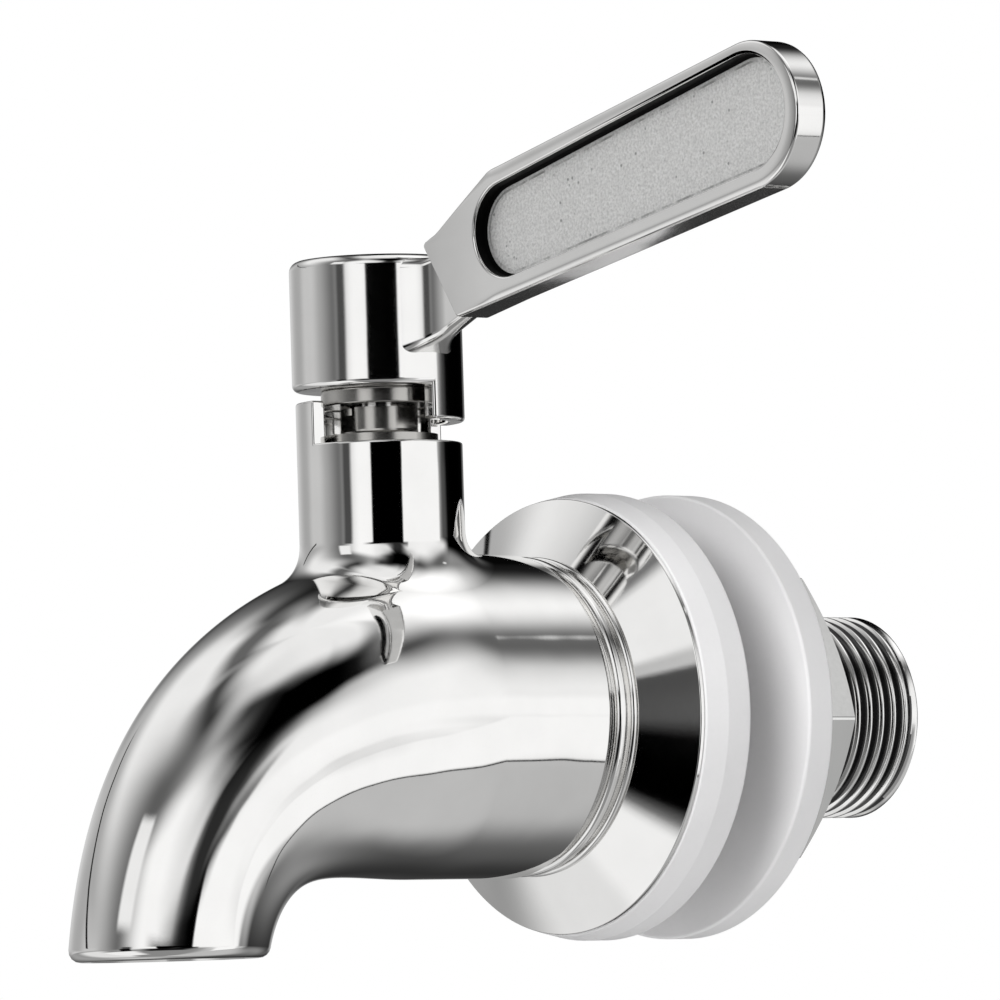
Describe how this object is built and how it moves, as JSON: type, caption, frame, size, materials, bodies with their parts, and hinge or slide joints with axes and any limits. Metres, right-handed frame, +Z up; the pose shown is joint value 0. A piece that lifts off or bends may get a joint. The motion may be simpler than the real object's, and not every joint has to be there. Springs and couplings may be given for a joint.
{
  "type": "wax pot spigot",
  "caption": "Quarter-turn ball spigot for a wax melting pot, with a bent spout, a flag lever and a threaded shank with a washer on each side of the wall.",
  "frame": {"origin": "on the shank's axis, where it crosses the mounting face, the rear face of the front washer", "axes": "+Y runs back along the shank into the pot, -Y points to the spout, +Z is up along the stem, and the closed lever points along +X"},
  "size_m": [0.0682, 0.0773, 0.0653],
  "materials": {
    "polished_steel": "mirror polished stainless steel",
    "satin_steel": "satin stainless steel with a blasted panel",
    "thread_steel": "turned and threaded stainless steel",
    "silicone": "translucent pale silicone",
    "seal_rubber": "black seal rubber",
    "ptfe": "white low-friction plastic"
  },
  "bodies": {
    "tap": {"body": "polished_steel", "shank": "thread_steel", "shank_o_ring": "seal_rubber", "rear_seat": "ptfe", "front_seat": "ptfe", "thrust_washer": "ptfe", "lower_packing": "ptfe", "upper_packing": "ptfe", "gland_nut": "polished_steel", "escutcheon": "polished_steel", "front_washer": "silicone", "rear_washer": "silicone", "lock_nut": "thread_steel"},
    "lever": {"ball": "polished_steel", "stem": "thread_steel", "stem_o_ring": "seal_rubber", "lever_spacer": "polished_steel", "lever": "satin_steel", "spring_washer": "thread_steel", "lever_screw": "thread_steel"}
  },
  "joints": [
    {"name": "lever_turn", "type": "hinge", "parent": "tap", "child": "lever", "pos_m": [0, -0.0218, 0.02], "axis": [0, 0, 1], "range_deg": [-90, 0]}
  ]
}
